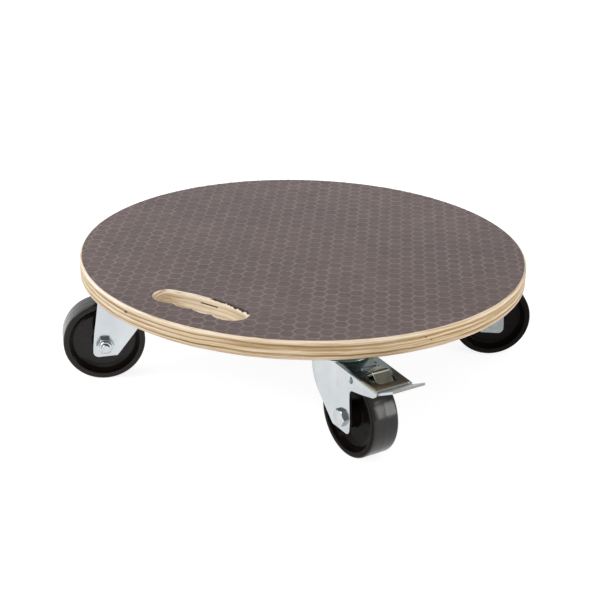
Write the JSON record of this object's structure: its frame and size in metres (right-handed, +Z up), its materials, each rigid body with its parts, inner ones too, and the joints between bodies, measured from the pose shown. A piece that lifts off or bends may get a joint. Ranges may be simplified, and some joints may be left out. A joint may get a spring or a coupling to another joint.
{
  "type": "furniture dolly",
  "caption": "Round plywood furniture dolly with textured film faces, a scalloped hand hole and swivel casters with plastic wheels, some with foot brakes.",
  "frame": {"origin": "on the floor under the centre of the round deck", "axes": "+Z up out of the load surface, -Y towards the hand hole, +X to the right seen from the hand hole"},
  "size_m": [0.42, 0.42, 0.116],
  "materials": {
    "birch_plywood": "bare sanded",
    "phenolic_film": "satin",
    "zinc_steel": "bright zinc plated",
    "brake_steel": "zinc plated",
    "spring_steel": "zinc plated spring steel",
    "bearing_steel": "polished",
    "fastener_steel": "zinc plated",
    "black_plastic": "moulded gloss"
  },
  "bodies": {
    "deck": {"deck_core": "birch_plywood", "deck_film_top": "phenolic_film", "deck_film_bottom": "phenolic_film", "top_plate_fl": "zinc_steel", "mounting_screws_fl": "fastener_steel", "kingpin_fl": "zinc_steel", "lower_race_fl": "zinc_steel", "top_plate_fr": "zinc_steel", "mounting_screws_fr": "fastener_steel", "kingpin_fr": "zinc_steel", "lower_race_fr": "zinc_steel", "top_plate_rr": "zinc_steel", "mounting_screws_rr": "fastener_steel", "kingpin_rr": "zinc_steel", "lower_race_rr": "zinc_steel", "top_plate_rl": "zinc_steel", "mounting_screws_rl": "fastener_steel", "kingpin_rl": "zinc_steel", "lower_race_rl": "zinc_steel"},
    "balls_fl": {"upper_balls_fl": "bearing_steel", "lower_balls_fl": "bearing_steel"},
    "swivel_fl": {"fork_fl": "zinc_steel", "axle_bolt_fl": "fastener_steel", "axle_nut_fl": "fastener_steel", "axle_tube_fl": "fastener_steel", "axle_washers_fl": "fastener_steel"},
    "roller_fl": {"wheel_fl": "black_plastic"},
    "balls_fr": {"upper_balls_fr": "bearing_steel", "lower_balls_fr": "bearing_steel"},
    "swivel_fr": {"fork_fr": "zinc_steel", "axle_bolt_fr": "fastener_steel", "axle_nut_fr": "fastener_steel", "axle_tube_fr": "fastener_steel", "axle_washers_fr": "fastener_steel", "brake_pin_fr": "fastener_steel"},
    "roller_fr": {"wheel_fr": "black_plastic"},
    "brake_fr": {"brake_pedal_fr": "brake_steel", "brake_spring_fr": "spring_steel"},
    "balls_rr": {"upper_balls_rr": "bearing_steel", "lower_balls_rr": "bearing_steel"},
    "swivel_rr": {"fork_rr": "zinc_steel", "axle_bolt_rr": "fastener_steel", "axle_nut_rr": "fastener_steel", "axle_tube_rr": "fastener_steel", "axle_washers_rr": "fastener_steel"},
    "roller_rr": {"wheel_rr": "black_plastic"},
    "balls_rl": {"upper_balls_rl": "bearing_steel", "lower_balls_rl": "bearing_steel"},
    "swivel_rl": {"fork_rl": "zinc_steel", "axle_bolt_rl": "fastener_steel", "axle_nut_rl": "fastener_steel", "axle_tube_rl": "fastener_steel", "axle_washers_rl": "fastener_steel", "brake_pin_rl": "fastener_steel"},
    "roller_rl": {"wheel_rl": "black_plastic"},
    "brake_rl": {"brake_pedal_rl": "brake_steel", "brake_spring_rl": "spring_steel"}
  },
  "joints": [
    {"name": "swivel_turn_fl", "type": "hinge", "parent": "deck", "child": "swivel_fl", "pos_m": [-0.11384, -0.11384, 0.086], "axis": [0, 0, 1], "continuous": true},
    {"name": "ball_orbit_fl", "type": "hinge", "parent": "deck", "child": "balls_fl", "pos_m": [-0.11384, -0.11384, 0.09025], "axis": [0, 0, 1], "continuous": true},
    {"name": "wheel_spin_fl", "type": "hinge", "parent": "swivel_fl", "child": "roller_fl", "pos_m": [-0.13515, -0.13425, 0.03825], "axis": [0.6916, -0.7222, 0], "continuous": true},
    {"name": "swivel_turn_fr", "type": "hinge", "parent": "deck", "child": "swivel_fr", "pos_m": [0.11384, -0.11384, 0.086], "axis": [0, 0, 1], "continuous": true},
    {"name": "ball_orbit_fr", "type": "hinge", "parent": "deck", "child": "balls_fr", "pos_m": [0.11384, -0.11384, 0.09025], "axis": [0, 0, 1], "continuous": true},
    {"name": "wheel_spin_fr", "type": "hinge", "parent": "swivel_fr", "child": "roller_fr", "pos_m": [0.1409, -0.1256, 0.03825], "axis": [0.3986, 0.9171, 0], "continuous": true},
    {"name": "brake_press_fr", "type": "hinge", "parent": "swivel_fr", "child": "brake_fr", "pos_m": [0.15099, -0.12999, 0.0776], "axis": [0.3986, 0.9171, 0], "range_deg": [0, 9]},
    {"name": "swivel_turn_rr", "type": "hinge", "parent": "deck", "child": "swivel_rr", "pos_m": [0.11384, 0.11384, 0.086], "axis": [0, 0, 1], "continuous": true},
    {"name": "ball_orbit_rr", "type": "hinge", "parent": "deck", "child": "balls_rr", "pos_m": [0.11384, 0.11384, 0.09025], "axis": [0, 0, 1], "continuous": true},
    {"name": "wheel_spin_rr", "type": "hinge", "parent": "swivel_rr", "child": "roller_rr", "pos_m": [0.13774, 0.13114, 0.03825], "axis": [-0.5862, 0.8101, 0], "continuous": true},
    {"name": "swivel_turn_rl", "type": "hinge", "parent": "deck", "child": "swivel_rl", "pos_m": [-0.11384, 0.11384, 0.086], "axis": [0, 0, 1], "continuous": true},
    {"name": "ball_orbit_rl", "type": "hinge", "parent": "deck", "child": "balls_rl", "pos_m": [-0.11384, 0.11384, 0.09025], "axis": [0, 0, 1], "continuous": true},
    {"name": "wheel_spin_rl", "type": "hinge", "parent": "swivel_rl", "child": "roller_rl", "pos_m": [-0.14091, 0.12558, 0.03825], "axis": [-0.3978, -0.9175, 0], "continuous": true},
    {"name": "brake_press_rl", "type": "hinge", "parent": "swivel_rl", "child": "brake_rl", "pos_m": [-0.151, 0.12995, 0.0776], "axis": [-0.3978, -0.9175, 0], "range_deg": [0, 9]}
  ],
  "couplings": [
    {"joint": "ball_orbit_fl", "follows": "swivel_turn_fl", "ratio": 0.5},
    {"joint": "ball_orbit_fr", "follows": "swivel_turn_fr", "ratio": 0.5},
    {"joint": "ball_orbit_rr", "follows": "swivel_turn_rr", "ratio": 0.5},
    {"joint": "ball_orbit_rl", "follows": "swivel_turn_rl", "ratio": 0.5}
  ]
}
